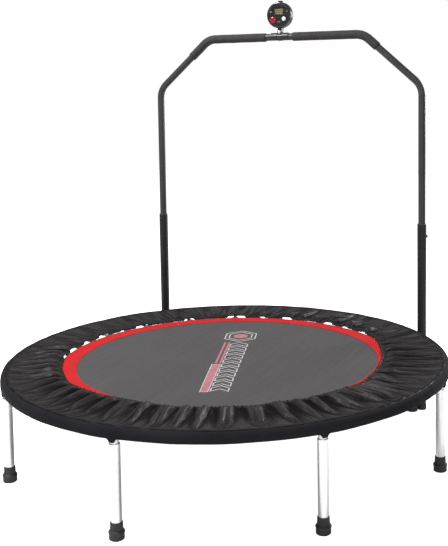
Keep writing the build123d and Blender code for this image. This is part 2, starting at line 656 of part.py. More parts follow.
def write_mat_and_springs():
    first = 90 + 180.0 / SPRING_COUNT
    write("mat", mat())
    write("red_band", red_band())
    write("mat_tabs", *spread(mat_tab(), SPRING_COUNT, first))
    write("v_rings", *spread(triangle_ring(), SPRING_COUNT, first))
    write("springs", *spread(spring(), SPRING_COUNT, first))
    write("spring_eyes", *spread(spring_eye(), SPRING_COUNT, first))
    write("cover", cover())


def write_handle():
    def both_sides(*shapes):
        return [Rot(Z=angle) * shape for angle in HANDLE_ANGLES.values() for shape in shapes]

    for side, angle in HANDLE_ANGLES.items():
        write(f"handle_lower_{side}", Rot(Z=angle) * lower_tube())
        write(f"snap_button_{side}", Rot(Z=angle) * snap_button())
        write(f"grip_{side}", grip(side))
    write("tube_end_caps", *both_sides(tube_end_cap()))
    write("tube_bushings", *both_sides(tube_bushing()))
    write("spacer_blocks", *both_sides(*[spacer_block(z) for z in BOLT_HEIGHTS]))
    write("handle_bolts", *both_sides(*[handle_bolt(z) for z in BOLT_HEIGHTS]))
    write("handle_washers", *both_sides(*[handle_washer(z) for z in BOLT_HEIGHTS]))
    write("handle_nuts", *both_sides(*[handle_nut(z) for z in BOLT_HEIGHTS]))
    write("upper_handle", upper_handle())
    write("handle_end_plugs", *both_sides(handle_end_plug()))
    write("snap_springs", *both_sides(snap_spring()))


def write_computer():
    pod = Pos(POD_X, HANDLE_Y, BAR_Z + POD_HEIGHT)
    bar = Pos(POD_X, HANDLE_Y, BAR_Z)
    write("computer_front", pod * casing_front())
    write("computer_rear", pod * casing_rear())
    write("computer_lens", pod * lens())
    write("computer_display", pod * display())
    write("computer_board", pod * rod_y(BOARD_R, BOARD_FRONT_Y, BOARD_BACK_Y))
    switches = [rod_y(SWITCH_R, SWITCH_FRONT_Y, BOARD_FRONT_Y, x, z) for x, z, _ in PUSH_BUTTONS.values()]
    write("computer_switches", *[pod * s for s in switches])
    write("computer_battery", pod * rod_x(BATTERY_R, -BATTERY_HALF, BATTERY_HALF, BATTERY_Y, BATTERY_Z))
    write("battery_contacts", pod * battery_contact(-1), pod * battery_contact(1))
    lid = plate_y(LID_WIDTH, LID_HEIGHT, 2, REAR_Y - LID_THICKNESS, REAR_Y, BATTERY_Z)
    write("battery_lid", pod * lid)
    write("casing_screws", *[pod * casing_screw(x, z) for x, z in post_places()])
    for colour in PUSH_BUTTONS:
        write(f"{colour}_button", pod * push_button(colour))
    write("computer_bracket", bar * bracket())
    write("computer_strap", bar * strap())
    write("strap_screw", bar * strap_screw())
    write("strap_nut", bar * strap_nut())
    write("bracket_screws", bar * bracket_screw(-TONGUE_SCREW_X), bar * bracket_screw(TONGUE_SCREW_X))


os.makedirs("parts", exist_ok=True)
write_hoop_and_legs()
write_mat_and_springs()
write_handle()
write_computer()
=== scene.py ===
"""Mini trampoline with a handlebar and a jump computer: cloth, webbing, springs and finishes on the CAD.

Metres, in the CAD's frame: +Z up, the handlebar at +Y. Angles round the hoop are from +X towards +Y.
"""
import math
import random

import bpy
import numpy as np
from mathutils import Matrix, Vector, noise


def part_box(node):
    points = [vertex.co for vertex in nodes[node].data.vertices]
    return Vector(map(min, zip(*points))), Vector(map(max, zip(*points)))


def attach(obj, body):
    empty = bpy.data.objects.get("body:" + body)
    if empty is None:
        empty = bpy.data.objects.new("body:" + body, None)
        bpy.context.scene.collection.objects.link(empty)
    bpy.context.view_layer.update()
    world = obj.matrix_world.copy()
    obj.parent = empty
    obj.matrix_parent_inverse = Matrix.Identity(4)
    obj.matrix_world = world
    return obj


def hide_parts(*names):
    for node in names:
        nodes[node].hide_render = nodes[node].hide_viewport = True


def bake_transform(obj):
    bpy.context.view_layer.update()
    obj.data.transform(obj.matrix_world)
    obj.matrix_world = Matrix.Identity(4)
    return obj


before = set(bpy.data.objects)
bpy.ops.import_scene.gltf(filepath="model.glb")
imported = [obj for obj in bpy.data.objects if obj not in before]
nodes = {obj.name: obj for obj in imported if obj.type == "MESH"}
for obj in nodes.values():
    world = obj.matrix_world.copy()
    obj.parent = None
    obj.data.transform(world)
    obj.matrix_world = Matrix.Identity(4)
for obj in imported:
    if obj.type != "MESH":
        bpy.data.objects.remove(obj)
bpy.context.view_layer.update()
TAU = 2 * math.pi
X_AXIS, Y_AXIS, Z_AXIS = Vector((1, 0, 0)), Vector((0, 1, 0)), Vector((0, 0, 1))

# ---- sizes, from the CAD where it has them ----
ring_low, ring_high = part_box("frame_ring")
TUBE_R = (ring_high.z - ring_low.z) / 2
HOOP_R = ring_high.x - TUBE_R
HOOP_Z = (ring_high.z + ring_low.z) / 2
mat_low, mat_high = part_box("mat")
MAT_R = mat_high.x
MAT_TOP = mat_high.z
MAT_BOTTOM = mat_low.z
BAND_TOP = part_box("red_band")[1].z
BAND_INNER = 0.418
BAR_R = 0.011                           # the handle tube's radius
GRIP_R = 0.014
cover_low, cover_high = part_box("cover")
COVER_R = cover_high.x
HEM_Z = cover_low.z
hook_low, hook_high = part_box("v_rings")
SPRING_Z = (hook_low.z + hook_high.z) / 2
SPRINGS = 40
FIRST_SPRING = math.radians(90 + 180 / SPRINGS)
LEGS = 8
VIEW_TURN = math.radians(24.54)         # the camera's side of the hoop, from -Y
FRONT_ANGLE = VIEW_TURN - math.pi / 2


def near(angle):
    """Degrees round the hoop from the side nearest the camera, in -180..180, positive to its right."""
    return (math.degrees(angle - FRONT_ANGLE) + 180) % 360 - 180


def ease(t):
    """A smooth step from 0 at t = 0 to 1 at t = 1."""
    t = min(max(t, 0.0), 1.0)
    return t * t * (3 - 2 * t)


def outwards(angle):
    return Vector((math.cos(angle), math.sin(angle), 0))


def put(target, **values):
    """Sets properties of anything in Blender."""
    for key, value in values.items():
        setattr(target, key, value)
    return target


def feed(node, **values):
    """Sets a node's sockets. An underscore in a keyword is a space in the socket's name."""
    for key, value in values.items():
        node.inputs[key.replace("_", " ")].default_value = value
    return node


# ---- camera, light and floor ----
def place_camera():
    turn, pitch, roll = 0.356946, 0.079705, -0.009654
    data = bpy.data.cameras.new("camera")
    data.lens = 59.797
    data.sensor_width = 36
    data.shift_x = -0.1392
    data.shift_y = -0.1850
    data.clip_start, data.clip_end = 0.05, 60
    cam = bpy.data.objects.new("camera", data)
    eye = Matrix.Translation((1.06822, -2.27837, 0.96867))
    aim = Matrix.Rotation(turn, 4, "Z") @ Matrix.Rotation(math.pi / 2 - pitch, 4, "X")
    cam.matrix_world = eye @ aim @ Matrix.Rotation(roll, 4, "Z")
    bpy.context.collection.objects.link(cam)
    bpy.context.scene.camera = cam


def area_light(name, at, target, size, power):
    data = bpy.data.lights.new(name, "AREA")
    data.shape = "RECTANGLE"
    data.size, data.size_y = size
    data.energy = power
    lamp = bpy.data.objects.new(name, data)
    lamp.location = at
    aim = Vector(target) - Vector(at)
    lamp.rotation_euler = aim.to_track_quat("-Z", "Y").to_euler()
    bpy.context.collection.objects.link(lamp)


def seen_or_lit(tree, seen, lit):
    """One value where the background itself is seen, another where it lights the object."""
    path = tree.nodes.new("ShaderNodeLightPath")
    level = feed(tree.nodes.new("ShaderNodeMapRange"), To_Min=lit, To_Max=seen)
    tree.links.new(path.outputs["Is Camera Ray"], level.inputs["Value"])
    return level.outputs["Result"]


def studio():
    scene = bpy.context.scene
    scene.view_settings.view_transform = "Standard"
    world = bpy.data.worlds.new("studio")
    scene.world = world
    world.use_nodes = True
    tree = world.node_tree
    back = tree.nodes["Background"]
    back.inputs["Color"].default_value = (1.0, 1.0, 1.0, 1)
    tree.links.new(seen_or_lit(tree, 1.0, 0.26), back.inputs["Strength"])
    area_light("key", (-1.2, -0.9, 3.0), (0, 0, 0.25), (0.7, 0.7), 105)
    area_light("side", (1.5, 2.3, 1.5), (0, 0, 0.3), (0.8, 1.2), 66)
    area_light("front", (1.4, -3.0, 1.5), (0, 0, 0.5), (1.8, 1.8), 22)
    data = bpy.data.meshes.new("floor")
    half = 9
    corners = [(-half, -half, 0), (half, -half, 0), (half, half, 0), (-half, half, 0)]
    data.from_pydata(corners, [], [(0, 1, 2, 3)])
    floor = bpy.data.objects.new("floor", data)
    bpy.context.collection.objects.link(floor)
    paint = shader("pale_floor", Base_Color=(0.93, 0.93, 0.93, 1), Roughness=0.7)
    mottle(paint, (0.93, 0.93, 0.93), (0.91, 0.91, 0.915), 3.0)
    bsdf(paint).inputs["Emission Color"].default_value = (1, 1, 1, 1)
    wire(paint, seen_or_lit(paint.node_tree, 1.0, 0.12), bsdf(paint).inputs["Emission Strength"])
    data.materials.append(paint)


# ---- materials ----
LOOK = {}                               # every material by its name
MIX_A, MIX_B, MIXED = 6, 7, 2           # the colour sockets of a Mix node


def shader(name, **values):
    """A Principled material, kept in LOOK."""
    mat = bpy.data.materials.new(name)
    LOOK[name] = mat
    mat.use_nodes = True
    feed(bsdf(mat), **values)
    return mat


def bsdf(mat):
    return mat.node_tree.nodes["Principled BSDF"]


def add(mat, kind, **values):
    return put(mat.node_tree.nodes.new(kind), **values)


def wire(mat, source, target):
    mat.node_tree.links.new(source, target)


def place(mat, stretch=(1, 1, 1)):
    """Object coordinates, in metres times stretch."""
    coords = add(mat, "ShaderNodeTexCoord")
    mapping = feed(add(mat, "ShaderNodeMapping"), Scale=stretch)
    wire(mat, coords.outputs["Object"], mapping.inputs["Vector"])
    return mapping.outputs["Vector"]


def noise_of(mat, scale, detail=4.0, stretch=(1, 1, 1), rough=0.55):
    tex = feed(add(mat, "ShaderNodeTexNoise"), Scale=scale, Detail=detail, Roughness=rough)
    wire(mat, place(mat, stretch), tex.inputs["Vector"])
    return tex.outputs["Fac"]


def ramp_of(mat, fac, low, high, a, b):
    """Maps fac from low..high to a..b."""
    node = feed(add(mat, "ShaderNodeMapRange"), From_Min=low, From_Max=high, To_Min=a, To_Max=b)
    wire(mat, fac, node.inputs["Value"])
    return node.outputs["Result"]


def mix_of(mat, fac, a, b):
    """A colour between a and b. Either may be a colour or a socket."""
    node = add(mat, "ShaderNodeMix", data_type="RGBA")
    for value, socket in ((a, node.inputs[MIX_A]), (b, node.inputs[MIX_B])):
        if isinstance(value, tuple):
            socket.default_value = (*value, 1)
        else:
            wire(mat, value, socket)
    wire(mat, fac, node.inputs[0])
    return node.outputs[MIXED]


def drift(mat, scale, detail=4.0, stretch=(1, 1, 1), low=0.0, high=1.0):
    """A noise spread out over low..high."""
    return ramp_of(mat, noise_of(mat, scale, detail, stretch), 0.3, 0.7, low, high)


def mottle(mat, a, b, scale, detail=4.0, stretch=(1, 1, 1)):
    """Base colour that drifts between a and b."""
    colour = mix_of(mat, drift(mat, scale, detail, stretch), a, b)
    wire(mat, colour, bsdf(mat).inputs["Base Color"])
    return colour


def roughen(mat, low, high, scale, stretch=(1, 1, 1)):
    wire(mat, drift(mat, scale, 5.0, stretch, low, high), bsdf(mat).inputs["Roughness"])


def bump(mat, height, strength, distance):
    """Adds a bump under any bump that the material already has."""
    node = feed(add(mat, "ShaderNodeBump"), Strength=strength, Distance=distance)
    wire(mat, height, node.inputs["Height"])
    socket = bsdf(mat).inputs["Normal"]
    if socket.is_linked:
        wire(mat, socket.links[0].from_socket, node.inputs["Normal"])
    wire(mat, node.outputs["Normal"], socket)


def bands(mat, pitch, direction):
    """Waves that repeat at the pitch: a Wave texture repeats every TAU / 20 of its scaled coordinate."""
    tex = add(mat, "ShaderNodeTexWave", wave_type="BANDS", bands_direction=direction)
    feed(tex, Scale=TAU / (20 * pitch), Distortion=0.0)
    wire(mat, place(mat), tex.inputs["Vector"])
    return tex.outputs["Fac"]


def math_of(mat, operation, a, b):
    node = add(mat, "ShaderNodeMath", operation=operation)
    for value, socket in zip((a, b), node.inputs):
        if isinstance(value, (int, float)):
            socket.default_value = value
        else:
            wire(mat, value, socket)
    return node.outputs[0]


def weave(mat, pitch, first="X", second="Y"):
    """The height of a plain weave: threads one way between threads the other way."""
    over = math_of(mat, "MULTIPLY", bands(mat, pitch, first), bands(mat, pitch * 2, second))
    under = math_of(mat, "MULTIPLY", bands(mat, pitch, second), bands(mat, pitch * 2, first))
    return math_of(mat, "MAXIMUM", over, under)


def make_metals():
    zinc = shader("zinc_steel", Metallic=1.0, Roughness=0.24)
    mottle(zinc, (0.88, 0.885, 0.89), (0.78, 0.79, 0.80), 14.0, 6.0, (1, 1, 0.25))
    roughen(zinc, 0.17, 0.34, 60.0, (1, 1, 0.1))
    bump(zinc, noise_of(zinc, 900.0, 2.0, (1, 1, 0.03)), 0.06, 0.0004)
    hoop = shader("hoop_steel", Metallic=1.0, Roughness=0.33)
    mottle(hoop, (0.70, 0.705, 0.71), (0.58, 0.585, 0.59), 9.0, 6.0)
    roughen(hoop, 0.25, 0.45, 30.0)
    bump(hoop, noise_of(hoop, 700.0, 3.0), 0.08, 0.0004)
    fastener = shader("fastener", Metallic=1.0, Roughness=0.3)
    mottle(fastener, (0.62, 0.62, 0.6), (0.45, 0.45, 0.46), 120.0, 6.0)
    roughen(fastener, 0.22, 0.42, 200.0)
    bump(fastener, noise_of(fastener, 1500.0, 3.0), 0.15, 0.0003)
    bright = shader("bright_screw", Metallic=0.35, Roughness=0.22)
    mottle(bright, (0.93, 0.93, 0.93), (0.82, 0.82, 0.83), 200.0)
    bump(bright, noise_of(bright, 2500.0, 2.0), 0.05, 0.0002)
    spring = shader("spring_steel", Metallic=1.0, Roughness=0.28)
    mottle(spring, (0.62, 0.63, 0.64), (0.42, 0.43, 0.44), 80.0)
    roughen(spring, 0.2, 0.4, 300.0)
    bump(spring, noise_of(spring, 2600.0, 2.0), 0.1, 0.0002)


def powder_coat(name, colour, worn, low, high):
    """A powder coat: fine orange peel and paler rubbed patches."""
    mat = shader(name, Roughness=0.4, Specular_IOR_Level=0.35)
    mottle(mat, colour, worn, 26.0, 7.0)
    roughen(mat, low, high, 90.0)
    bump(mat, noise_of(mat, 1100.0, 3.0), 0.10, 0.0004)
    bump(mat, noise_of(mat, 260.0, 2.0), 0.05, 0.0006)


def moulded(name, colour, other, rough, grain=1800.0, strength=0.12, **values):
    """A moulded plastic or rubber with a fine spark-eroded texture."""
    mat = shader(name, Roughness=rough, **values)
    mottle(mat, colour, other, 60.0, 5.0)
    roughen(mat, max(rough - 0.06, 0.03), rough + 0.08, 140.0)
    bump(mat, noise_of(mat, grain, 2.0), strength, 0.0003)
    return mat


def make_plastics():
    powder_coat("black_tube", (0.0095, 0.0090, 0.0092), (0.015, 0.0142, 0.0146), 0.38, 0.52)
    powder_coat("grey_tube", (0.036, 0.034, 0.035), (0.047, 0.045, 0.046), 0.36, 0.5)
    powder_coat("black_strap", (0.02, 0.02, 0.02), (0.05, 0.05, 0.05), 0.25, 0.4)
    moulded("black_rubber", (0.016, 0.016, 0.016), (0.032, 0.031, 0.030), 0.62, 900, 0.3)
    moulded("black_plastic", (0.016, 0.016, 0.017), (0.028, 0.028, 0.029), 0.42)
    moulded("casing", (0.018, 0.018, 0.019), (0.026, 0.026, 0.027), 0.36, 2200, 0.15)
    gloss = moulded("gloss_casing", (0.010, 0.010, 0.011), (0.018, 0.018, 0.019), 0.2, 2600, 0.04)
    feed(bsdf(gloss), Coat_Weight=0.6, Coat_Roughness=0.14)
    moulded("red_plastic", (0.36, 0.010, 0.022), (0.29, 0.008, 0.016), 0.2, 2400, 0.05)
    moulded("white_plastic", (0.86, 0.86, 0.85), (0.78, 0.78, 0.77), 0.28, 2400, 0.05)
    moulded("circuit_board", (0.02, 0.16, 0.06), (0.03, 0.22, 0.09), 0.4)
    moulded("battery", (0.35, 0.35, 0.36), (0.25, 0.25, 0.26), 0.3, 1800, 0.1, Metallic=0.8)
    lens = shader("clear_lens", Base_Color=(0.06, 0.05, 0.045, 1), Roughness=0.05, IOR=1.49, Alpha=0.16)
    roughen(lens, 0.03, 0.08, 200.0)
    lcd = shader("lcd", Roughness=0.25)
    mottle(lcd, (0.62, 0.58, 0.31), (0.55, 0.52, 0.27), 90.0)
    bump(lcd, weave(lcd, 0.0006, "X", "Z"), 0.05, 0.0001)


def make_cloths():
    mesh = shader("mat_fabric", Roughness=0.5, Specular_IOR_Level=0.12)
    tone = mix_of(mesh, drift(mesh, 5.0, 6.0), (0.073, 0.0680, 0.0700), (0.083, 0.0770, 0.0790))
    threads = weave(mesh, 0.0021)
    tone = mix_of(mesh, ramp_of(mesh, threads, 0.0, 1.0, 0.35, 0.0), tone, (0.048, 0.0450, 0.046))
    streak = drift(mesh, 260.0, 2.0, (1, 0.02, 1), high=0.35)
    tone = mix_of(mesh, streak, tone, (0.104, 0.098, 0.100))
    wire(mesh, tone, bsdf(mesh).inputs["Base Color"])
    roughen(mesh, 0.42, 0.56, 40.0)
    bump(mesh, threads, 0.35, 0.0006)

    tape = shader("red_tape", Roughness=0.6, Specular_IOR_Level=0.12)
    tone = mix_of(tape, drift(tape, 18.0, 5.0), (0.56, 0.021, 0.023), (0.49, 0.015, 0.017))
    threads = weave(tape, 0.0012)
    tone = mix_of(tape, ramp_of(tape, threads, 0.0, 1.0, 0.3, 0.0), tone, (0.28, 0.006, 0.008))
    wire(tape, tone, bsdf(tape).inputs["Base Color"])
    bump(tape, threads, 0.4, 0.0004)

    web = shader("webbing", Roughness=0.7, Sheen_Weight=0.2, Sheen_Roughness=0.5)
    mottle(web, (0.020, 0.020, 0.021), (0.038, 0.037, 0.038), 150.0)
    bump(web, weave(web, 0.0016), 0.6, 0.0008)

    # the cover's valley colour is a painted shade for its creases, and its ridge colour is a painted
    # highlight
    coated_cloth("cover_fabric", (0.0138, 0.0118, 0.0123), (0.0190, 0.0164, 0.0171), 0.44, 0.125,
                 valley=(0.0042, 0.0038, 0.0040), ridge=(0.0300, 0.0256, 0.0265))
    coated_cloth("hem_fabric", (0.0150, 0.0145, 0.0172), (0.0205, 0.0198, 0.0228), 0.76, 0.02)

    foam = shader("foam", Roughness=0.85, Specular_IOR_Level=0.3)
    mottle(foam, (0.035, 0.0325, 0.0333), (0.047, 0.0437, 0.0445), 70.0, 8.0)
    cells = feed(add(foam, "ShaderNodeTexVoronoi"), Scale=900.0)
    wire(foam, place(foam), cells.inputs["Vector"])
    bump(foam, cells.outputs["Distance"], 0.35, 0.0006)
    bump(foam, noise_of(foam, 160.0, 4.0), 0.25, 0.0009)

    moulded("thread_red", (0.52, 0.015, 0.02), (0.36, 0.01, 0.015), 0.6, 3000, 0.2)
    moulded("thread_black", (0.035, 0.034, 0.035), (0.06, 0.058, 0.06), 0.6, 3000, 0.2)
    moulded("print_white", (0.50, 0.49, 0.49), (0.42, 0.41, 0.41), 0.5, 1200, 0.1)
    moulded("print_pink", (0.44, 0.17, 0.20), (0.37, 0.13, 0.16), 0.5, 1200, 0.1)
    moulded("segment", (0.03, 0.03, 0.025), (0.05, 0.05, 0.04), 0.4, 1200, 0.05)


def coated_cloth(name, colour, other, rough, gloss, valley=None, ridge=None):
    """Tightly woven coated polyester: fine weave, tiny creases and a low sheen.

    With valley and ridge colours, shade and light are painted in by how deep the cloth lies in a fold: a
    painted shade in the valleys, a painted highlight on the ridges, and less gloss in the valleys.
    """
    mat = shader(name, Roughness=rough, Sheen_Weight=0.03, Sheen_Roughness=0.35, Specular_IOR_Level=gloss)
    tone = mottle(mat, colour, other, 11.0, 6.0)
    if valley:
        depth = add(mat, "ShaderNodeAttribute", attribute_name="fold_depth").outputs["Fac"]
        # painted shade: darker deep in the folds
        tone = mix_of(mat, ramp_of(mat, depth, 0.05, 0.9, 0.0, 0.92), tone, valley)
        # painted highlight: lighter on the high ridges
        tone = mix_of(mat, ramp_of(mat, depth, -0.05, -0.9, 0.0, 0.9), tone, ridge)
        wire(mat, tone, bsdf(mat).inputs["Base Color"])
        wire(mat, ramp_of(mat, depth, 0.2, 1.0, gloss, 0.02), bsdf(mat).inputs["Specular IOR Level"])
    roughen(mat, rough - 0.08, rough + 0.10, 45.0)
    bump(mat, weave(mat, 0.0009), 0.15, 0.0003)
    bump(mat, noise_of(mat, 75.0, 6.0, rough=0.65), 0.30, 0.0022)


# ---- mesh helpers ----
def piece(name, points, faces, body, *mats, smooth=True):
    data = bpy.data.meshes.new(name)
    data.from_pydata([tuple(p) for p in points], [], faces)
    for mat in mats:
        data.materials.append(mat)
    data.polygons.foreach_set("use_smooth", [smooth] * len(data.polygons))
    data.update()
    made = bpy.data.objects.new(name, data)
    bpy.context.collection.objects.link(made)
    if body:
        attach(made, body)
    return made


def grid_faces(rows, columns, closed_columns=True, closed_rows=False, start=0):
    """Quads over points laid out row by row."""
    faces = []
    for j in range(rows if closed_rows else rows - 1):
        for i in range(columns if closed_columns else columns - 1):
            a = start + j * columns + i
            b = start + j * columns + (i + 1) % columns
            up = ((j + 1) % rows - j) * columns
            faces.append((a, b, b + up, a + up))
    return faces


def swept(points, radii, sides, closed=False):
    """Points and faces of a round tube along a line of points."""
    line = [Vector(p) for p in points]
    count = len(line)
    verts, normal = [], None
    for k, at in enumerate(line):
        if closed:
            ahead = line[(k + 1) % count] - line[k - 1]
        else:
            ahead = line[min(k + 1, count - 1)] - line[max(k - 1, 0)]
        ahead.normalize()
        if normal is None:
            normal = ahead.orthogonal().normalized()
        normal = (normal - ahead * normal.dot(ahead)).normalized()
        across = ahead.cross(normal)
        radius = radii[k] if isinstance(radii, list) else radii
        for s in range(sides):
            turn = TAU * s / sides
            verts.append(at + (normal * math.cos(turn) + across * math.sin(turn)) * radius)
    faces = grid_faces(count, sides, True, closed)
    if not closed:
        faces.append(tuple(range(sides))[::-1])
        faces.append(tuple(range(len(verts) - sides, len(verts))))
    return verts, faces


def joined(parts):
    """Several (points, faces) as one."""
    verts, faces = [], []
    for points, quads in parts:
        base = len(verts)
        verts += points
        faces += [tuple(base + i for i in quad) for quad in quads]
    return verts, faces


def revolved(rows):
    """Points round the hoop's axis from rows of (radius, height), one for each column."""
    points = []
    for row in rows:
        for i, (r, z) in enumerate(row):
            angle = TAU * i / len(row)
            points.append((r * math.cos(angle), r * math.sin(angle), z))
    return points


def arc(x, z, radius, first, last, steps):
    """(x, z) places on an arc about x, z, between two angles in degrees."""
    places = []
    for k in range(steps + 1):
        turn = math.radians(first + (last - first) * k / steps)
        places.append((x + radius * math.cos(turn), z + radius * math.sin(turn)))
    return places


def turned_about_z(points, angle):
    c, s = math.cos(angle), math.sin(angle)
    return [Vector((p[0] * c - p[1] * s, p[0] * s + p[1] * c, p[2])) for p in points]


def box_at(centre, along, across, up, length, width, height):
    """A box as (points, faces), from its centre, its directions and its sizes."""
    verts = []
    for a in (-0.5, 0.5):
        for b in (-0.5, 0.5):
            for c in (-0.5, 0.5):
                verts.append(centre + along * (a * length) + across * (b * width) + up * (c * height))
    faces = [(0, 1, 3, 2), (4, 6, 7, 5), (0, 4, 5, 1), (2, 3, 7, 6), (0, 2, 6, 4), (1, 5, 7, 3)]
    return verts, faces


def modify(obj, kind, name, **values):
    return put(obj.modifiers.new(name, kind), **values)


def settle(obj):
    """Applies every modifier."""
    graph = bpy.context.evaluated_depsgraph_get()
    data = bpy.data.meshes.new_from_object(obj.evaluated_get(graph))
    obj.modifiers.clear()
    old = obj.data
    obj.data = data
    data.name = obj.name
    bpy.data.meshes.remove(old)


def flutter(angle, cycles, seed):
    """Smooth noise round the hoop that meets itself, about -1..1."""
    radius = cycles / TAU
    at = Vector((radius * math.cos(angle), radius * math.sin(angle), seed * 7.31))
    return noise.noise(at) * 1.8


# ---- cover ----
COVER_COLUMNS = 1080
FLAT_ROWS, ARC_ROWS, DROP_ROWS = 29, 8, 3       # across the ring, over the tube and down to the hem
COVER_SKIN = 0.0011
SETTLE_FRAMES = 13
# Where the edge is lifted at the back: the middles, by near(), and the half widths, in degrees.
GAPS = ((-96.0, 2.6), (-105.3, 2.6), (-114.7, 1.7), (-125.0, 2.7), (-143.5, 2.8), (-163.6, 2.0),
        (177.4, 3.6), (157.2, 2.6), (138.2, 2.3))
SMALL_GAPS = ((-134.6, 1.1), (-153.5, 0.8), (166.8, 1.2), (129.2, 1.2), (118.8, 1.2), (109.5, 0.8))


def gap(angle):
    """How far the edge is lifted off the mat, 0..1, between straps at the back."""
    turn, lift = near(angle), 0.0
    for gaps, height in ((GAPS, 1.0), (SMALL_GAPS, 0.6)):
        for middle, half in gaps:
            away = abs((turn - middle + 180) % 360 - 180)
            lift = max(lift, height * ease(half + 0.5 - away))
    return lift


def hump(x, middle, width):
    """A bell curve, 1 at its middle."""
    return math.exp(-(((x - middle) / width) ** 2))


def edge_radius(angle):
    """Where the elastic edge lies: pulled in unevenly over the band in front, at the mat's edge behind."""
    turn = near(angle)
    behind = ease((abs(turn) - (84 if turn < 0 else 88)) / (18 if turn < 0 else 30))
    ahead = 0.4465 - 0.0105 * math.sin(math.radians(turn))
    ahead = ahead - 0.002 * hump(turn, 12, 20) - 0.006 * hump(turn, -48, 12)
    ahead += 0.006 * hump(turn, 41, 7) - 0.008 * hump(turn, 70, 14) - 0.0135 * hump(turn, -30, 12)
    at_back = 0.4712
    loose = 0.0032 * (1 - 0.8 * behind)
    return ahead * (1 - behind) + at_back * behind + loose * flutter(angle, 26, 1) + 0.003 * gap(angle)


def edge_height(angle):
    """The elastic edge's height: on the mat's band, lifted in places at the back and piled up in front."""
    turn = near(angle)
    forward = ease((70 + turn) / 40) if turn < 0 else ease((56 - turn) / 22)
    behind = ease((abs(turn) - 88) / 14)
    low = 0.0042 - 0.0034 * behind
    return BAND_TOP + low + 0.0056 * gap(angle) + forward * (0.0062 + 0.0016 * flutter(angle, 34, 2))


def pleat(angle, count, seed, sharp=0.75):
    """Broad ridges with narrow valleys round the hoop, uneven in width, about -1..1."""
    phase = count * angle / 2 + 2.6 * flutter(angle, 15, seed)
    return 2 * abs(math.sin(phase)) ** sharp - 1.05


def cover_start():
    """The cover before it settles: rows from the elastic edge out over the hoop and down to the hem."""
    skin = TUBE_R + 0.0018                      # the skirt's radius over the tube
    touch = math.radians(97)                    # where it comes to lie on the tube
    broad, fine = 0.0106, 0.0026                # the heights of the broad folds and the fine ones
    rows = FLAT_ROWS + ARC_ROWS + DROP_ROWS
    grid = [[] for _ in range(rows)]
    for i in range(COVER_COLUMNS):
        angle = TAU * i / COVER_COLUMNS
        turn = near(angle)
        forward = ease((86 - abs(turn)) / 46)
        strong = 1.15 + 0.15 * forward + 0.40 * flutter(angle, 11, 9)
        inner_r, inner_z = edge_radius(angle), edge_height(angle)
        gather = math.sin(150 * angle + 5 * flutter(angle, 24, 3)) * (0.6 + 0.5 * flutter(angle, 37, 10))
        inner_r += (0.0008 + 0.0010 * forward) * gather
        inner_z += (0.0006 + 0.0010 * forward) * abs(gather)
        top_r = HOOP_R + skin * math.cos(touch)
        top_z = HOOP_Z + skin * math.sin(touch)
        for j in range(rows):
            t = min(j / (FLAT_ROWS - 1), 1.0)
            skew = angle + (0.060 * flutter(angle, 13, 8) + 0.012 * flutter(angle, 41, 11)) * t
            fold = broad * strong * pleat(skew, 62, 4, 0.8) * (1 - 0.72 * t) * ease(t / 0.20)
            fold += fine * strong * pleat(skew + 0.01, 139, 6, 1.0) * (1 - t) ** 1.3 * ease(t / 0.07)
            if j < FLAT_ROWS:
                crown = (0.0045 + 0.0050 * forward) * 4 * t * (1 - t) ** 1.2
                r = inner_r + (top_r - inner_r) * t
                z = inner_z + (top_z - inner_z) * t + crown + fold
                grid[j].append((r, max(z, SPRING_Z + 0.0075 if r > MAT_R + 0.01 else BAND_TOP + 0.0018)))
            elif j < FLAT_ROWS + ARC_ROWS:
                down = (j + 1 - FLAT_ROWS) / ARC_ROWS
                bend = touch * (1 - down)
                out = skin + max(0.0, fold * 0.6 + 0.0008) * max(0.0, 1 - 4 * down)
                grid[j].append((HOOP_R + out * math.cos(bend), HOOP_Z + out * math.sin(bend)))
            else:
                drop = (j + 1 - FLAT_ROWS - ARC_ROWS) / DROP_ROWS
                grid[j].append((HOOP_R + skin, HOOP_Z - drop * (HOOP_Z - HEM_Z - 0.003)))
    lengths = [0.0]
    for j in range(1, rows):
        steps = [math.dist(grid[j][i], grid[j - 1][i]) for i in range(0, COVER_COLUMNS, 16)]
        lengths.append(lengths[-1] + 1.03 * sum(steps) / len(steps))
    flat = []
    for j, length in enumerate(lengths):
        slack = 1 + 0.080 * ease((FLAT_ROWS + 1 - j) / 9)
        flat.append([((HOOP_R + skin) * slack, 1 - length)] * COVER_COLUMNS)
    return revolved(grid), revolved(flat), rows


def cover_support():
    """What the cover lies on while it settles: the hoop, the springs and the mat's edge."""
    section = arc(HOOP_R, HOOP_Z, TUBE_R, -40, 135, 8)
    section += [(0.572, 0.2485), (0.540, 0.2480), (0.500, 0.2478), (0.478, 0.2476)]
    section += [(0.45, 0.2468), (0.40, 0.2462)]
    columns = 288
    points = revolved([place] * columns for place in section)
    made = piece("support", points, grid_faces(len(section), columns), None)
    modify(made, "COLLISION", "collision")
    made.collision.thickness_outer = 0.0012
    made.collision.cloth_friction = 8.0
    return made


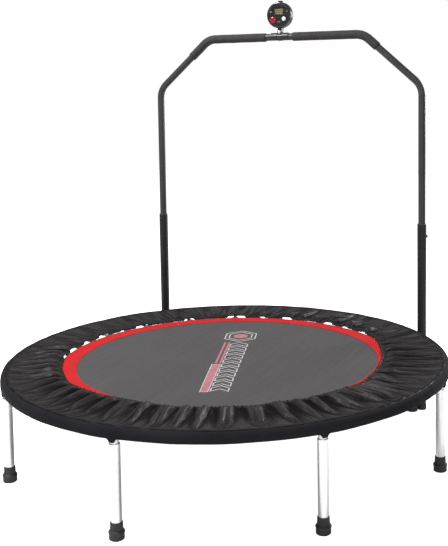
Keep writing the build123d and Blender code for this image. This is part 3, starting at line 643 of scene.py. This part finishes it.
def simulate(obj, pinned, rest_key, frames):
    """Settles a cloth and returns its points."""
    mod = modify(obj, "CLOTH", "cloth")
    cloth = put(mod.settings, quality=6, mass=0.08)
    put(cloth, tension_stiffness=20, compression_stiffness=14, shear_stiffness=6, bending_stiffness=0.15)
    put(cloth, tension_damping=6, compression_damping=6, shear_damping=6, air_damping=2.0)
    cloth.vertex_group_mass = pinned
    cloth.effector_weights.gravity = 0.35
    cloth.pin_stiffness = 6
    cloth.rest_shape_key = obj.data.shape_keys.key_blocks[rest_key]
    put(mod.collision_settings, collision_quality=3, distance_min=0.0012, use_self_collision=False)
    put(mod.point_cache, frame_start=1, frame_end=frames)
    scene = bpy.context.scene
    for k in range(1, frames + 1):
        scene.frame_set(k)
    graph = bpy.context.evaluated_depsgraph_get()
    settled = obj.evaluated_get(graph).to_mesh()
    co = np.empty(len(settled.vertices) * 3)
    settled.vertices.foreach_get("co", co)
    obj.modifiers.clear()
    scene.frame_set(1)
    return co.reshape(-1, 3)


def fold_depth(points, rows):
    """Each point's depth in the folds: 0 at the local mean height, 1 deep in a valley, -1 on a high ridge.

    The mean is over reach columns each way, and full is the height that counts as 1. The depth paints a
    shade into the valleys and a highlight onto the ridges. Valleys open towards the hem, so less shade is
    painted there. The rows tucked in at the hem's seam count as deep, which paints a shade along the seam.
    """
    reach, full = 12, 0.0021
    depths = []
    for j in range(rows):
        # painted shade along the hem's seam: these rows count as deep, so they are darkened and dulled
        seam = 0.85 * ease((j + 3 - FLAT_ROWS) / 3)
        opened = 1 - 0.55 * min(j / FLAT_ROWS, 1.0)
        heights = [points[j * COVER_COLUMNS + i][2] for i in range(COVER_COLUMNS)]
        for i in range(COVER_COLUMNS):
            around = [heights[(i + k) % COVER_COLUMNS] for k in range(-reach, reach + 1)]
            depth = max(-1.0, min(1.0, (sum(around) / len(around) - heights[i]) / full))
            depths.append(min(1.0, (depth * opened if depth > 0 else depth) + seam))
    return depths


def make_cover():
    """The gathered skirt, settled as a cloth over the hoop and the springs, and its elastic's casing."""
    points, flat_shape, rows = cover_start()
    faces = grid_faces(rows, COVER_COLUMNS)
    trial = piece("trial", points, faces, None)
    trial.shape_key_add(name="Basis")
    key = trial.shape_key_add(name="flat")
    for k, p in enumerate(flat_shape):
        key.data[k].co = p
    key.value = 0.0
    held = trial.vertex_groups.new(name="held")
    held.add(list(range(COVER_COLUMNS)), 1.0, "REPLACE")
    held.add(list(range((FLAT_ROWS + 1) * COVER_COLUMNS, rows * COVER_COLUMNS)), 1.0, "REPLACE")
    support = cover_support()
    points = simulate(trial, "held", "flat", SETTLE_FRAMES)
    bpy.data.objects.remove(trial)
    bpy.data.objects.remove(support)
    made = piece("cover_skirt", points, faces, None, LOOK["cover_fabric"])
    # the fold depths, which paint shade into the cover's valleys and a highlight onto its ridges
    depths = made.data.attributes.new("fold_depth", "FLOAT", "POINT")
    depths.data.foreach_set("value", fold_depth(points, rows))
    modify(made, "SUBSURF", "finer", levels=1, render_levels=1)
    modify(made, "SOLIDIFY", "thickness", thickness=COVER_SKIN, offset=1.0)
    settle(made)
    made.data.polygons.foreach_set("use_smooth", [True] * len(made.data.polygons))
    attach(made, "frame")
    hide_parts("cover")
    return made, make_casing(points)


def make_casing(skirt_points):
    """The casing that holds the elastic: a puckered roll along the skirt's inner edge."""
    line, radii = [], []
    for i in range(COVER_COLUMNS):
        angle = TAU * i / COVER_COLUMNS
        x, y, z = skirt_points[i]
        pucker = math.sin(300 * angle + 4 * flutter(angle, 40, 51))
        line.append((x, y, z - 0.0010 + 0.0004 * pucker))
        radii.append(0.0021 + 0.0005 * pucker + 0.0004 * flutter(angle, 60, 52))
    verts, faces = swept(line, radii, 8, closed=True)
    made = piece("cover_casing", verts, faces, "frame", LOOK["cover_fabric"])
    return made


def make_hem():
    """The bound outer edge: a smooth band round the hoop's outside with a pocket over each leg."""
    columns, outer_steps = 1200, 7
    outline = []
    for i in range(columns):
        angle = TAU * i / columns
        leg = min(abs((angle + math.pi / 2 - TAU * k / LEGS) % TAU - math.pi) for k in range(LEGS))
        dip = 0.0090 * ease((0.0200 - leg) / 0.0125)        # the pocket over the nearest leg
        ripple = 0.0004 * flutter(angle, 70, 21) + 0.0003 * flutter(angle, 200, 24)
        bottom = HEM_Z + 0.0022 - dip + 0.0006 * flutter(angle, 44, 22)
        outer = COVER_R + 0.0012 - HOOP_R + ripple
        inner = COVER_R - 0.0003 - HOOP_R
        top = 76 + 3 * flutter(angle, 60, 23)
        path = arc(HOOP_R, HOOP_Z, outer - 0.0014, top, 0, outer_steps)[:1]     # tucked under the skirt
        path += arc(HOOP_R, HOOP_Z, outer, top, 0, outer_steps)[1:]
        wide = HOOP_R + outer
        path += [
            (wide + 0.0002, (HOOP_Z + bottom) / 2), (wide, bottom + 0.003),
            (wide - 0.0008, bottom + 0.0008), (wide - 0.0028, bottom),
            (wide - 0.0075, bottom + 0.0009 + dip * 0.2),
            (wide - 0.0105, bottom + 0.0022 + dip * 0.4), (wide - 0.0105, bottom + 0.0034 + dip * 0.4),
            (wide - 0.0030, bottom + 0.0016), (wide - 0.0016, bottom + 0.0040),
        ]
        path += arc(HOOP_R, HOOP_Z, inner, 0, top + 1, 5)
        outline.append(path)
    faces = [quad[::-1] for quad in grid_faces(len(outline[0]), columns, True, True)]
    made = piece("cover_hem", revolved(zip(*outline)), faces, "frame", LOOK["hem_fabric"])
    return made


# ---- mat ----
def make_mat():
    """The woven bed: a disc with a folded edge and a faint unevenness between the straps that pull it."""
    columns, rings = 360, 46
    uneven_by, patches = 0.00012, 9         # height of the unevenness, and patches to a metre
    points = []
    for k in range(1, rings):
        r = MAT_R * (k / rings) ** 0.9
        for i in range(columns):
            angle = TAU * i / columns
            pull = math.cos(SPRINGS * (angle - FIRST_SPRING)) * ease((r - 0.30) / 0.16) * uneven_by
            at = Vector((r * math.cos(angle) * patches, r * math.sin(angle) * patches, 0))
            points.append((r * math.cos(angle), r * math.sin(angle),
                           MAT_TOP - 0.0003 + pull + uneven_by * noise.noise(at)))
    edge = [(MAT_R - 0.0006, MAT_TOP - 0.0002), (MAT_R, MAT_TOP - 0.0006), (MAT_R - 0.0005, MAT_BOTTOM)]
    edge += [(r, MAT_BOTTOM) for r in (MAT_R - 0.004, 0.30, 0.15, 0.02)]
    points += revolved([place] * columns for place in edge)
    rows = len(points) // columns
    faces = grid_faces(rows, columns)
    top, under = len(points), len(points) + 1
    points += [(0, 0, MAT_TOP - 0.0003), (0, 0, MAT_BOTTOM)]
    last = (rows - 1) * columns
    for i in range(columns):
        faces.append((top, (i + 1) % columns, i)[::-1])
        faces.append((under, last + i, last + (i + 1) % columns)[::-1])
    faces = [quad[::-1] for quad in faces]
    made = piece("mat_bed", points, faces, "mat", LOOK["mat_fabric"])
    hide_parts("mat")
    return made


def make_band():
    """The bound edge on the mat, a hair uneven where it is sewn, with two rows of stitches."""
    columns = 720
    low, top = MAT_TOP - 0.0001, BAND_TOP - 0.0001
    outline = []
    for i in range(columns):
        angle = TAU * i / columns
        inner = BAND_INNER + 0.0006 * flutter(angle, 55, 31)
        puff = 0.00015 * flutter(angle, 120, 32)
        outline.append([
            (inner, low), (inner, top - 0.0003), (inner + 0.0006, top - 0.0001),
            (inner + 0.003, top - 0.0003), (inner + 0.009, top + puff),
            (0.442, top + 0.0001), (0.458, top + puff), (MAT_R - 0.0035, top - 0.0003),
            (MAT_R - 0.0006, top - 0.0001), (MAT_R, top - 0.0004), (MAT_R, low),
        ])
    faces = [quad[::-1] for quad in grid_faces(len(outline[0]), columns, True, True)]
    band = piece("edge_band", revolved(zip(*outline)), faces, "mat", LOOK["red_tape"])
    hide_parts("red_band")
    long, wide, high = 0.0029, 0.0007, 0.0006
    parts = []
    for r, count in ((BAND_INNER + 0.0035, 640), (MAT_R - 0.004, 710)):
        for k in range(count):
            out = outwards(TAU * k / count)
            centre = out * r + Z_AXIS * (BAND_TOP - 0.0003)
            parts.append(box_at(centre, Vector((-out.y, out.x, 0)), out, Z_AXIS, long, wide, high))
    stitches = piece("band_stitches", *joined(parts), "mat", LOOK["thread_red"])
    return band, stitches


def ribbon(path, width, height):
    """A closed flat strap through a line of (x, z) places, square to Y."""
    line = [Vector((x, 0, z)) for x, z in path]
    verts = []
    for k, at in enumerate(line):
        ahead = (line[min(k + 1, len(line) - 1)] - line[max(k - 1, 0)]).normalized()
        up = Vector((-ahead.z, 0, ahead.x))
        for y, lift in ((-0.5, -0.5), (0.5, -0.5), (0.5, 0.5), (-0.5, 0.5)):
            verts.append(at + Vector((0, y * width, 0)) + up * (lift * height))
    faces = grid_faces(len(line), 4)
    faces.append((3, 2, 1, 0))
    base = len(verts) - 4
    faces.append((base, base + 1, base + 2, base + 3))
    return verts, faces


def box_stitch(low):
    """The stitches of a square with its diagonals under a loop, as boxes at the height low."""
    pitch, long, wide, high = 0.0034, 0.0023, 0.0006, 0.0005
    near_r, far_r, half = 0.4455, 0.4605, 0.0078
    places = ((near_r, -half), (far_r, -half), (far_r, half), (near_r, half))
    corners = [Vector((x, y, low)) for x, y in places]
    parts = []
    for a, b in ((0, 1), (1, 2), (2, 3), (3, 0), (0, 2), (1, 3)):
        run = corners[b] - corners[a]
        count = max(3, round(run.length / pitch))
        side = Z_AXIS.cross(run).normalized()
        for n in range(count):
            middle = corners[a] + run * ((n + 0.5) / count)
            parts.append(box_at(middle, run.normalized(), side, Z_AXIS, long, wide, high))
    return parts


def make_tabs():
    """The webbing loops sewn under the mat's edge round the triangle rings, with box stitches."""
    bar_r, wrap = 0.472, 0.0025             # the ring's bar and the loop's bend round it
    width, thick = 0.020, 0.0013
    under = MAT_BOTTOM - 0.0009
    back = under - 0.0015
    path = [(0.4405, under), (0.452, under), (0.4655, under), (0.4695, SPRING_Z + wrap * 0.85)]
    path += arc(bar_r, SPRING_Z, wrap, 100, -100, 8)
    path += [(0.4680, SPRING_Z - wrap * 0.8), (0.4640, under - 0.0016), (0.4520, back), (0.4435, back)]
    strap, thread = ribbon(path, width, thick), box_stitch(under - 0.0023)
    straps, seams = [], []
    for k in range(SPRINGS):
        angle = FIRST_SPRING + TAU * k / SPRINGS
        straps.append((turned_about_z(strap[0], angle), strap[1]))
        seams += [(turned_about_z(points, angle), faces) for points, faces in thread]
    tabs = piece("webbing_loops", *joined(straps), "mat", LOOK["webbing"], smooth=False)
    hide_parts("mat_tabs")
    stitches = piece("loop_stitches", *joined(seams), "mat", LOOK["thread_black"], smooth=False)
    return tabs


# ---- springs ----
def spring_line():
    """One extension spring along X: a hook, a close helix and a hook, in a radial plane."""
    inner, outer = 0.490933, 0.5789         # the middles of the two hooks
    loop, coil, gap_to_coil = 0.0045, 0.0045, 0.0026
    turns, steps, hook_steps = 31, 14, 14
    start, end = inner + loop + gap_to_coil, outer - loop - gap_to_coil
    line = [(x, 0, z) for x, z in arc(inner, 0, loop, 50, 330, hook_steps)][::-1]
    line.append((start - 0.0012, 0.0008, 0.0039))
    total = turns * steps
    for k in range(total + 1):
        turn = math.pi / 2 + TAU * k / steps
        line.append((start + (end - start) * k / total, coil * math.cos(turn), coil * math.sin(turn)))
    line.append((end + 0.0012, -0.0008, 0.0039))
    return line + [(x, 0, z) for x, z in arc(outer, 0, loop, 130, 410, hook_steps)]


def make_springs():
    """Forty springs, each hooked to the hoop at one end and to a ring under the mat's edge at the other."""
    wire_r, sides = 0.001, 6
    verts, faces = swept(spring_line(), wire_r, sides)
    up = Z_AXIS * SPRING_Z
    for k in range(SPRINGS):
        angle = FIRST_SPRING + TAU * k / SPRINGS
        moved = [p + up for p in turned_about_z(verts, angle)]
        spring = piece(f"spring_{k + 1:02d}", moved, faces, None, LOOK["spring_steel"])
        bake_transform(spring)
    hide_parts("springs")


def make_snap_springs():
    """Each snap button's leaf: a U inside the upright, by the button."""
    outer, inner = 0.0055, -0.0071          # the U's two sides, from the upright's middle
    bend_z, top_z = 0.500, 0.552
    button_reach = 0.0135                   # from the upright's middle to the button's
    width, thick, sides = 0.009, 0.0008, 6
    for side in ("left", "right"):
        low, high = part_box(f"snap_button_{side}")
        centre = (low + high) / 2
        upright = math.hypot(centre.x, centre.y) - button_reach
        rise = top_z - bend_z
        path = [(upright + outer, top_z - rise * k / sides) for k in range(sides)]
        path += arc(upright + (outer + inner) / 2, bend_z, (outer - inner) / 2, 0, -180, 16)
        path += [(upright + inner, bend_z + rise * k / sides) for k in range(1, sides + 1)]
        verts, faces = ribbon(path, width, thick)
        angle = math.atan2(centre.y, centre.x)
        verts = turned_about_z(verts, angle)
        leaf = piece(f"snap_spring_{side}", verts, faces, None, LOOK["spring_steel"], smooth=False)
        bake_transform(leaf)
    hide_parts("snap_springs")


# ---- foam grips ----
def handle_points(x0, sign, slope_run):
    """Places along the handle's centre line from x0 on the top bar, round a bend and down a slope."""
    bar_half, shoulder_z, bend_r, step = 0.265, 1.006, 0.062, 0.004
    low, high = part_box("upper_handle")
    y, bar_z = (low.y + high.y) / 2, high.z - BAR_R
    corner = Vector((sign * bar_half, y, bar_z))
    shoulder = Vector((sign * (high.x - BAR_R), y, shoulder_z))
    start = Vector((x0, y, bar_z))
    down = (shoulder - corner).normalized()
    end = corner + down * slope_run
    before = (start - corner).normalized()
    half = math.acos(before.dot(down)) / 2
    tangent = bend_r / math.tan(half)
    centre = corner + (before + down).normalized() * (bend_r / math.sin(half))
    first, last = corner + before * tangent, corner + down * tangent
    count = max(2, int((start - first).length / step))
    points = [start + (first - start) * (k / count) for k in range(count)]
    spoke = first - centre
    sweep = spoke.angle(last - centre)
    axis = spoke.cross(last - centre).normalized()
    count = max(3, int(sweep * bend_r / step))
    points += [centre + Matrix.Rotation(sweep * k / count, 3, axis) @ spoke for k in range(count)]
    count = max(1, int((end - last).length / step))
    return points + [last + (end - last) * (k / count) for k in range(count + 1)]


def make_grip(side):
    """A foam sleeve along the bar and down the slope, with rounded ends and a glued seam."""
    left = side == "left"
    low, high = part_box(f"grip_{side}")
    line = handle_points(high.x if left else low.x, -1 if left else 1, 0.085 if left else 0.060)
    offset = random.Random(5 if left else 6).uniform(0, 40)
    count, sides, lumps = len(line), 40, 42             # lumps to a metre
    ahead_of = [(line[min(k + 1, count - 1)] - line[max(k - 1, 0)]).normalized() for k in range(count)]
    bore, end_r, rounded, inset = BAR_R + 0.0003, GRIP_R - 0.0014, GRIP_R - 0.0005, 0.0004
    first, last = ahead_of[0], ahead_of[-1]
    rings = [(line[0], first, bore, 0.0), (line[0], first, end_r, 0.0)]
    rings.append((line[0] + first * inset, first, rounded, 0.3))
    rings += [(line[k], ahead_of[k], GRIP_R, 1.0) for k in range(1, count - 1)]
    rings.append((line[-1] - last * inset, last, rounded, 0.3))
    rings += [(line[-1], last, end_r, 0.0), (line[-1], last, bore, 0.0)]
    verts, normal = [], Y_AXIS
    for at, ahead, radius, soft in rings:
        normal = (normal - ahead * normal.dot(ahead)).normalized()
        across = ahead.cross(normal)
        for s in range(sides):
            turn = TAU * s / sides
            out = normal * math.cos(turn) + across * math.sin(turn)
            where = (at + out * radius) * lumps + Vector((offset, 0, 0))
            wobble = soft * (0.00035 * noise.noise(where) - 0.0002)
            wobble += soft * 0.0002 * noise.noise(where * 4)
            seam = -0.0006 * soft * hump(turn, 4.3, 0.07)
            verts.append(at + out * (radius + wobble + seam))
    made = piece(f"foam_sleeve_{side}", verts, grid_faces(len(rings), sides), "handle", LOOK["foam"])
    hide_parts(f"grip_{side}")


# ---- print on the mat ----
def solid_line(corners, width, low, high):
    """A closed line with mitred corners, a width and a thickness, as (points, faces)."""
    count = len(corners)
    inner, outer = [], []
    for k in range(count):
        before = (corners[k] - corners[k - 1]).normalized()
        after = (corners[(k + 1) % count] - corners[k]).normalized()
        normal = Vector((before.y, -before.x))
        mitre = (normal + Vector((after.y, -after.x))).normalized()
        reach = width / 2 / max(0.35, mitre.dot(normal))
        outer.append(corners[k] + mitre * reach)
        inner.append(corners[k] - mitre * reach)
    rows = ((outer, low), (outer, high), (inner, high), (inner, low))
    return [(p.x, p.y, z) for row, z in rows for p in row], grid_faces(4, count, True, True)


def solid_plate(corners, low, high):
    """A flat plate with the given corners, as (points, faces)."""
    count = len(corners)
    ends = [tuple(range(count))[::-1], tuple(range(count, 2 * count))]
    return [(p.x, p.y, z) for z in (low, high) for p in corners], ends + grid_faces(2, count)


def make_print():
    """A plain pattern of outlined chevrons under a hexagon, with a two-tone bar beside them."""
    low, high = MAT_TOP - 0.0002, MAT_TOP + 0.00022
    tilt = math.radians(108)
    along = Vector((math.cos(tilt), math.sin(tilt)))
    across = Vector((along.y, -along.x))

    def at(u, v):
        return along * u + across * v

    def hexagon(long, wide):
        middle_u, middle_v = 0.232, 0.008
        turns = [TAU * n / 6 for n in range(6)]
        return [at(middle_u + long * math.cos(turn), middle_v + wide * math.sin(turn)) for turn in turns]

    white, red = [], []
    count, left, wide, first = 11, -0.012, 0.045, -0.296
    pitch = 0.452 / count
    tall, rise = 0.62 * pitch, 0.45 * pitch
    for k in range(count):
        u = first + k * pitch
        reach = wide + 0.006 * (k / count)
        corners = [
            at(u, left), at(u + rise, left + reach / 2), at(u, left + reach), at(u + tall, left + reach),
            at(u + tall + rise, left + reach / 2), at(u + tall, left),
        ]
        white.append(solid_line(corners, 0.0034, low, high))
    for radius in (0.062, 0.046):
        white.append(solid_line(hexagon(radius, 0.85 * radius)[::-1], 0.0036, low, high))
    red.append(solid_plate(hexagon(0.026, 0.024), low, high))
    for v in (-0.0215, -0.0335):
        bar = [at(-0.058, v), at(0.160, v), at(0.160, v + 0.006), at(-0.058, v + 0.006)]
        red.append(solid_plate(bar[::-1], low, high))
    block = [at(-0.302, -0.038), at(-0.066, -0.040), at(-0.066, -0.0165), at(-0.302, -0.0175)]
    red.append(solid_plate(block[::-1], low, high))
    white.append(solid_line(block, 0.0024, low, high + 0.0001))
    pale = piece("mat_print_white", *joined(white), "mat", LOOK["print_white"], smooth=False)
    pink = piece("mat_print_red", *joined(red), "mat", LOOK["print_pink"], smooth=False)


# ---- computer details ----
def face_boxes(name, y, deep, boxes, finish):
    """Small boxes on the computer's face, each from its middle's x and z, its width and its height."""
    parts = [box_at(Vector((x, y, z)), X_AXIS, Z_AXIS, Y_AXIS, w, h, deep) for x, z, w, h in boxes]
    return piece(name, *joined(parts), "computer", LOOK[finish], smooth=False)


def make_digits():
    """Four plain seven-segment noughts with a colon on the display."""
    low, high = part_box("computer_display")
    centre_x, centre_z = (low.x + high.x) / 2, (low.z + high.z) / 2
    width, height, thick, pitch, dot = 0.0038, 0.0080, 0.0008, 0.0056, 0.0011
    flat, upright = (width * 0.8, thick), (thick, height * 0.42)
    nought = [
        (0, height / 2, *flat), (width / 2, height / 4, *upright), (width / 2, -height / 4, *upright),
        (0, -height / 2, *flat), (-width / 2, -height / 4, *upright), (-width / 2, height / 4, *upright),
    ]
    boxes = []
    for k in range(4):
        x = centre_x + (k - 1.5) * pitch + (0.0007 if k > 1 else -0.0007)
        boxes += [(x + dx, centre_z + dz, w, h) for dx, dz, w, h in nought]
    boxes += [(centre_x, centre_z + dz, dot, dot) for dz in (-0.002, 0.002)]
    face_boxes("display_figures", low.y - 0.00006, 0.0001, boxes, "segment")


def make_display_frame():
    """The dark border printed round the display."""
    low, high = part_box("computer_display")
    centre_x, centre_z = (low.x + high.x) / 2, (low.z + high.z) / 2
    width, height = high.x - low.x, high.z - low.z
    open_w, open_h = 0.0255, 0.0165
    side_w, side_h = (width - open_w) / 2, (height - open_h) / 2
    boxes = []
    for sign in (-1, 1):
        boxes.append((centre_x + sign * (open_w + side_w) / 2, centre_z, side_w, height))
        boxes.append((centre_x, centre_z + sign * (open_h + side_h) / 2, open_w, side_h))
    face_boxes("display_frame", low.y - 0.0001, 0.00015, boxes, "black_plastic")


def make_face_marks():
    """Small plain printed dashes beside the window."""
    low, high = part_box("computer_front")
    centre_x, centre_z = (low.x + high.x) / 2, (low.z + high.z) / 2
    dashes = ((-0.0275, 0.010, 0.006, 0.0012), (-0.0275, 0.0125, 0.004, 0.0010),
              (0.0275, 0.011, 0.006, 0.0012), (0.0, -0.0215, 0.010, 0.0010))
    boxes = [(centre_x + dx, centre_z + dz, w, h) for dx, dz, w, h in dashes]
    face_boxes("face_marks", low.y + 0.0014, 0.0002, boxes, "print_white")


# ---- finishes of the CAD nodes, shown or replaced ----
FINISHES = {
    "hoop_steel": ["frame_ring", "leg_sockets", "spring_eyes"],
    "zinc_steel": [f"leg_{number}" for number in range(1, LEGS + 1)],
    "black_rubber": ["tube_end_caps"] + [f"foot_{number}" for number in range(1, LEGS + 1)],
    "fastener": ["leg_studs", "handle_bolts", "handle_washers", "handle_nuts", "casing_screws", "strap_nut",
                 "bracket_screws"],
    "spring_steel": ["springs", "v_rings", "snap_springs", "battery_contacts"],
    "black_tube": ["handle_lower_left", "handle_lower_right"],
    "grey_tube": ["upper_handle"],
    "black_plastic": ["snap_button_left", "snap_button_right", "tube_bushings", "spacer_blocks",
                      "handle_end_plugs", "computer_switches", "computer_bracket"],
    "gloss_casing": ["computer_front"],
    "casing": ["computer_rear", "battery_lid"],
    "clear_lens": ["computer_lens"],
    "lcd": ["computer_display"],
    "circuit_board": ["computer_board"],
    "battery": ["computer_battery"],
    "red_plastic": ["red_button"],
    "white_plastic": ["white_button"],
    "black_strap": ["computer_strap"],
    "bright_screw": ["strap_screw"],
    "cover_fabric": ["cover"],
    "mat_fabric": ["mat"],
    "red_tape": ["red_band"],
    "webbing": ["mat_tabs"],
    "foam": ["grip_left", "grip_right"],
}


def dress():
    finish_of = {name: finish for finish, names in FINISHES.items() for name in names}
    for name, node in nodes.items():
        finish = LOOK[finish_of[name]]
        for slot in node.material_slots:
            slot.material = finish
        if not node.material_slots:
            node.data.materials.append(finish)


make_metals()
make_plastics()
make_cloths()
place_camera()
studio()
dress()
bed = make_mat()
band, band_seams = make_band()
loops = make_tabs()
skirt, casing = make_cover()
hem = make_hem()
make_springs()
make_snap_springs()
for side in ("left", "right"):
    make_grip(side)
make_print()
make_digits()
make_display_frame()
make_face_marks()
